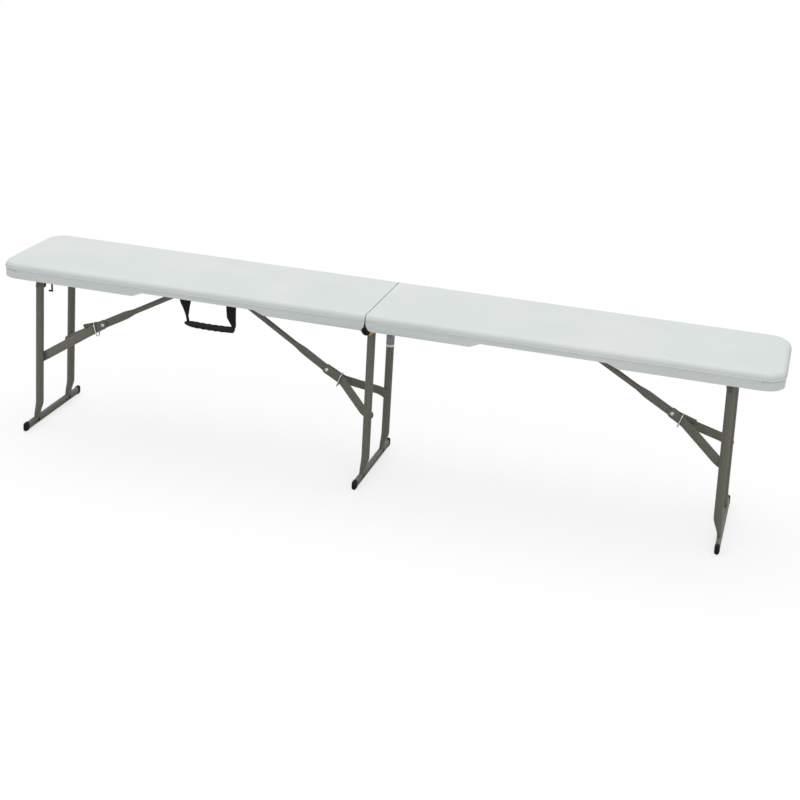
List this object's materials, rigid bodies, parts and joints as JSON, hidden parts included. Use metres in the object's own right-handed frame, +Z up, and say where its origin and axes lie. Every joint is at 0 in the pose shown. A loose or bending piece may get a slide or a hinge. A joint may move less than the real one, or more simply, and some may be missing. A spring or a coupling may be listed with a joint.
{
  "type": "folding bench",
  "caption": "Fold-in-half bench: moulded plastic seat on folding steel legs with ring-locked braces and a carry handle.",
  "frame": {"origin": "on the floor under the middle of the seat, where the two halves fold", "axes": "+X along the bench towards the half without the handle, +Y across it away from the handle, +Z up"},
  "size_m": [1.83, 0.285, 0.43],
  "materials": {
    "seat_plastic": "fine grained moulded polyethylene",
    "frame_paint": "hammered powder coat",
    "yellow_zinc": "yellow zinc plated sheet",
    "bright_steel": "bright zinc plated",
    "dark_steel": "blackened",
    "ring_chrome": "polished",
    "black_plastic": "moulded",
    "black_webbing": "woven",
    "label_vinyl": "plain blank film"
  },
  "bodies": {
    "left_half": {"seat_panel_left": "seat_plastic", "seat_screws_left": "dark_steel", "hinge_leaf_left_front": "yellow_zinc", "hinge_leaf_left_rear": "yellow_zinc", "fold_rod": "bright_steel", "rod_end_caps": "black_plastic", "rod_spacers": "black_plastic", "hinge_saddles_left": "black_plastic", "brace_bracket_left": "frame_paint", "brace_bracket_centre": "frame_paint", "brace_pin_left": "bright_steel", "brace_pin_centre": "bright_steel", "handle_strap_roots": "black_webbing", "hook_screw": "bright_steel"},
    "right_half": {"seat_panel_right": "seat_plastic", "seat_screws_right": "dark_steel", "hinge_leaf_right_front": "yellow_zinc", "hinge_leaf_right_rear": "yellow_zinc", "hinge_saddles_right": "black_plastic", "brace_bracket_right": "frame_paint", "brace_pin_right": "bright_steel", "hook_peg": "bright_steel"},
    "left_leg": {"upright_left_front": "frame_paint", "upright_left_rear": "frame_paint", "foot_bar_left": "frame_paint", "foot_caps_left": "black_plastic", "cross_tube_left": "frame_paint", "leg_fasteners_left": "bright_steel"},
    "centre_leg": {"upright_centre_front": "frame_paint", "upright_centre_rear": "frame_paint", "foot_bar_centre": "frame_paint", "foot_caps_centre": "black_plastic", "leg_fasteners_centre": "bright_steel", "blank_label": "label_vinyl"},
    "right_leg": {"upright_right_front": "frame_paint", "upright_right_rear": "frame_paint", "foot_bar_right": "frame_paint", "foot_caps_right": "black_plastic", "cross_tube_right": "frame_paint", "leg_fasteners_right": "bright_steel"},
    "carry_handle": {"handle_strap_left": "black_webbing", "handle_strap_right": "black_webbing", "handle_grip": "black_plastic"},
    "closing_hook": {"closing_hook": "bright_steel"},
    "left_brace_tube": {"brace_tube_left": "frame_paint"},
    "left_brace_arms": {"brace_arm_left_front": "frame_paint", "brace_arm_left_rear": "frame_paint", "brace_rivets_left": "bright_steel"},
    "left_lock_ring": {"lock_ring_left": "ring_chrome"},
    "centre_brace_tube": {"brace_tube_centre": "frame_paint"},
    "centre_brace_arms": {"brace_arm_centre_front": "frame_paint", "brace_arm_centre_rear": "frame_paint", "brace_rivets_centre": "bright_steel"},
    "centre_lock_ring": {"lock_ring_centre": "ring_chrome"},
    "right_brace_tube": {"brace_tube_right": "frame_paint"},
    "right_brace_arms": {"brace_arm_right_front": "frame_paint", "brace_arm_right_rear": "frame_paint", "brace_rivets_right": "bright_steel"},
    "right_lock_ring": {"lock_ring_right": "ring_chrome"}
  },
  "joints": [
    {"name": "bench_fold", "type": "hinge", "parent": "left_half", "child": "right_half", "pos_m": [0, 0, 0.389], "axis": [0, 1, 0], "range_deg": [0, 180]},
    {"name": "left_leg_fold", "type": "hinge", "parent": "left_half", "child": "left_leg", "pos_m": [-0.837, 0, 0.4035], "axis": [0, -1, 0], "range_deg": [0, 92.31]},
    {"name": "right_leg_fold", "type": "hinge", "parent": "right_half", "child": "right_leg", "pos_m": [0.804, 0, 0.4035], "axis": [0, 1, 0], "range_deg": [0, 92.31]},
    {"name": "centre_leg_fold", "type": "hinge", "parent": "left_half", "child": "centre_leg", "pos_m": [0, 0, 0.389], "axis": [0, 1, 0], "range_deg": [0, 90.01]},
    {"name": "left_brace_swing", "type": "hinge", "parent": "left_half", "child": "left_brace_tube", "pos_m": [-0.4321, 0, 0.41], "axis": [0, 1, 0], "range_deg": [0, 27.1]},
    {"name": "left_knee_bend", "type": "hinge", "parent": "left_brace_tube", "child": "left_brace_arms", "pos_m": [-0.713, 0, 0.257], "axis": [0, -1, 0], "range_deg": [0, 176.12]},
    {"name": "left_ring_slide", "type": "slide", "parent": "left_brace_tube", "child": "left_lock_ring", "axis": [0.8782, 0, 0.4783], "range_m": [0, 0.17502]},
    {"name": "centre_brace_swing", "type": "hinge", "parent": "left_half", "child": "centre_brace_tube", "pos_m": [-0.4116, 0, 0.41], "axis": [0, -1, 0], "range_deg": [0, 30.51]},
    {"name": "centre_knee_bend", "type": "hinge", "parent": "centre_brace_tube", "child": "centre_brace_arms", "pos_m": [-0.129, 0, 0.2335], "axis": [0, 1, 0], "range_deg": [0, 177.56]},
    {"name": "centre_ring_slide", "type": "slide", "parent": "centre_brace_tube", "child": "centre_lock_ring", "axis": [-0.8482, 0, 0.5297], "range_m": [0, 0.28202]},
    {"name": "right_brace_swing", "type": "hinge", "parent": "right_half", "child": "right_brace_tube", "pos_m": [0.4207, 0, 0.41], "axis": [0, -1, 0], "range_deg": [0, 28.35]},
    {"name": "right_knee_bend", "type": "hinge", "parent": "right_brace_tube", "child": "right_brace_arms", "pos_m": [0.684, 0, 0.259], "axis": [0, 1, 0], "range_deg": [0, 178.31]},
    {"name": "right_ring_slide", "type": "slide", "parent": "right_brace_tube", "child": "right_lock_ring", "axis": [-0.8675, 0, 0.4975], "range_m": [0, 0.17502]},
    {"name": "handle_swing", "type": "hinge", "parent": "left_half", "child": "carry_handle", "pos_m": [0, -0.1316, 0.4026], "axis": [-1, 0, 0], "range_deg": [0, 90.01]},
    {"name": "hook_turn", "type": "hinge", "parent": "left_half", "child": "closing_hook", "pos_m": [-0.779, -0.1297, 0.4], "axis": [0, 1, 0], "range_deg": [0, 25]}
  ],
  "couplings": [
    {"joint": "left_leg_fold", "follows": "bench_fold", "ratio": 0.51278},
    {"joint": "right_leg_fold", "follows": "bench_fold", "ratio": 0.51278},
    {"joint": "centre_leg_fold", "follows": "bench_fold", "ratio": 0.5},
    {"joint": "left_brace_swing", "follows": "bench_fold", "ratio": 0.15042},
    {"joint": "left_knee_bend", "follows": "bench_fold", "ratio": 0.97836},
    {"joint": "left_ring_slide", "follows": "bench_fold", "m_per_rad": 0.055704},
    {"joint": "centre_brace_swing", "follows": "bench_fold", "ratio": 0.16937},
    {"joint": "centre_knee_bend", "follows": "bench_fold", "ratio": 0.98632},
    {"joint": "centre_ring_slide", "follows": "bench_fold", "m_per_rad": 0.089763},
    {"joint": "right_brace_swing", "follows": "bench_fold", "ratio": 0.15741},
    {"joint": "right_knee_bend", "follows": "bench_fold", "ratio": 0.99047},
    {"joint": "right_ring_slide", "follows": "bench_fold", "m_per_rad": 0.055704},
    {"joint": "handle_swing", "follows": "bench_fold", "ratio": 0.5}
  ]
}
